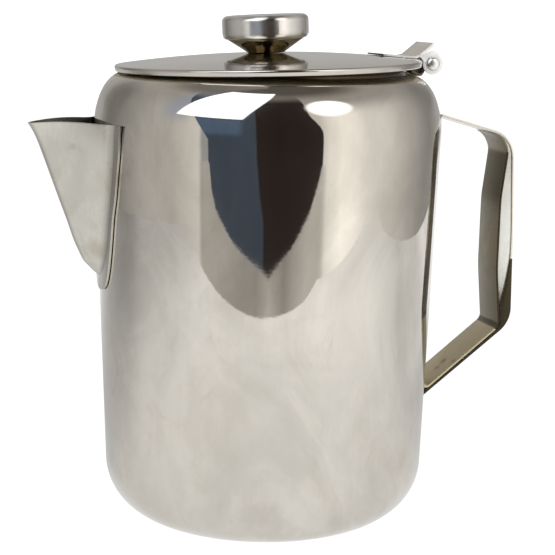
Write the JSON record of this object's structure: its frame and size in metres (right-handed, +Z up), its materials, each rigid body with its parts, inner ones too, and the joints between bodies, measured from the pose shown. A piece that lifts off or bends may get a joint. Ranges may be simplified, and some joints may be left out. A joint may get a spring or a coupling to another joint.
{
  "type": "coffee percolator",
  "caption": "Tall stainless steel coffee percolator with a folded open spout, strap handle, hinged lid with a round knob, and a lift-out pump tube with filter basket.",
  "frame": {"origin": "centre of the flat base, on the surface the pot stands on", "axes": "+Z up along the pot's axis, +X towards the handle, -X towards the spout; the lid hinge axis is parallel to Y"},
  "size_m": [0.2185, 0.15, 0.2199],
  "materials": {
    "polished_steel": "polished stainless steel with fine vertical polishing marks",
    "satin_steel": "satin stainless sheet, warm grey, lightly stained",
    "plain_steel": "plain drawn stainless sheet"
  },
  "bodies": {
    "pot": {"pot_shell": "polished_steel", "spout": "satin_steel", "handle_strap": "polished_steel", "handle_liner": "satin_steel", "hinge_bracket": "satin_steel", "hinge_pin": "polished_steel"},
    "lid": {"lid_shell": "polished_steel", "lid_skirt": "plain_steel", "lid_hinge_leaf": "satin_steel", "knob_cap": "polished_steel", "knob_cone": "polished_steel", "knob_post": "plain_steel", "knob_screw": "plain_steel", "knob_washer": "plain_steel"},
    "pump": {"pump_tube": "plain_steel", "pump_foot": "plain_steel", "valve_stop_ring": "plain_steel", "basket_rest_collar": "plain_steel"},
    "valve": {"valve_washer": "plain_steel"},
    "basket": {"basket_shell": "plain_steel", "basket_sleeve": "plain_steel"},
    "spreader": {"spreader_plate": "plain_steel"}
  },
  "joints": [
    {"name": "lid_hinge", "type": "hinge", "parent": "pot", "child": "lid", "pos_m": [0.0722, 0, 0.1988], "axis": [0, 1, 0], "range_deg": [0, 110]},
    {"name": "pump_lift", "type": "slide", "parent": "pot", "child": "pump", "axis": [0, 0, 1], "range_m": [0, 0.0125]},
    {"name": "valve_lift", "type": "slide", "parent": "pump", "child": "valve", "axis": [0, 0, 1], "range_m": [0, 0.0025]},
    {"name": "basket_lift", "type": "slide", "parent": "pump", "child": "basket", "axis": [0, 0, 1], "range_m": [0, 0.02]},
    {"name": "spreader_lift", "type": "slide", "parent": "basket", "child": "spreader", "axis": [0, 0, 1], "range_m": [0, 0.02]}
  ]
}
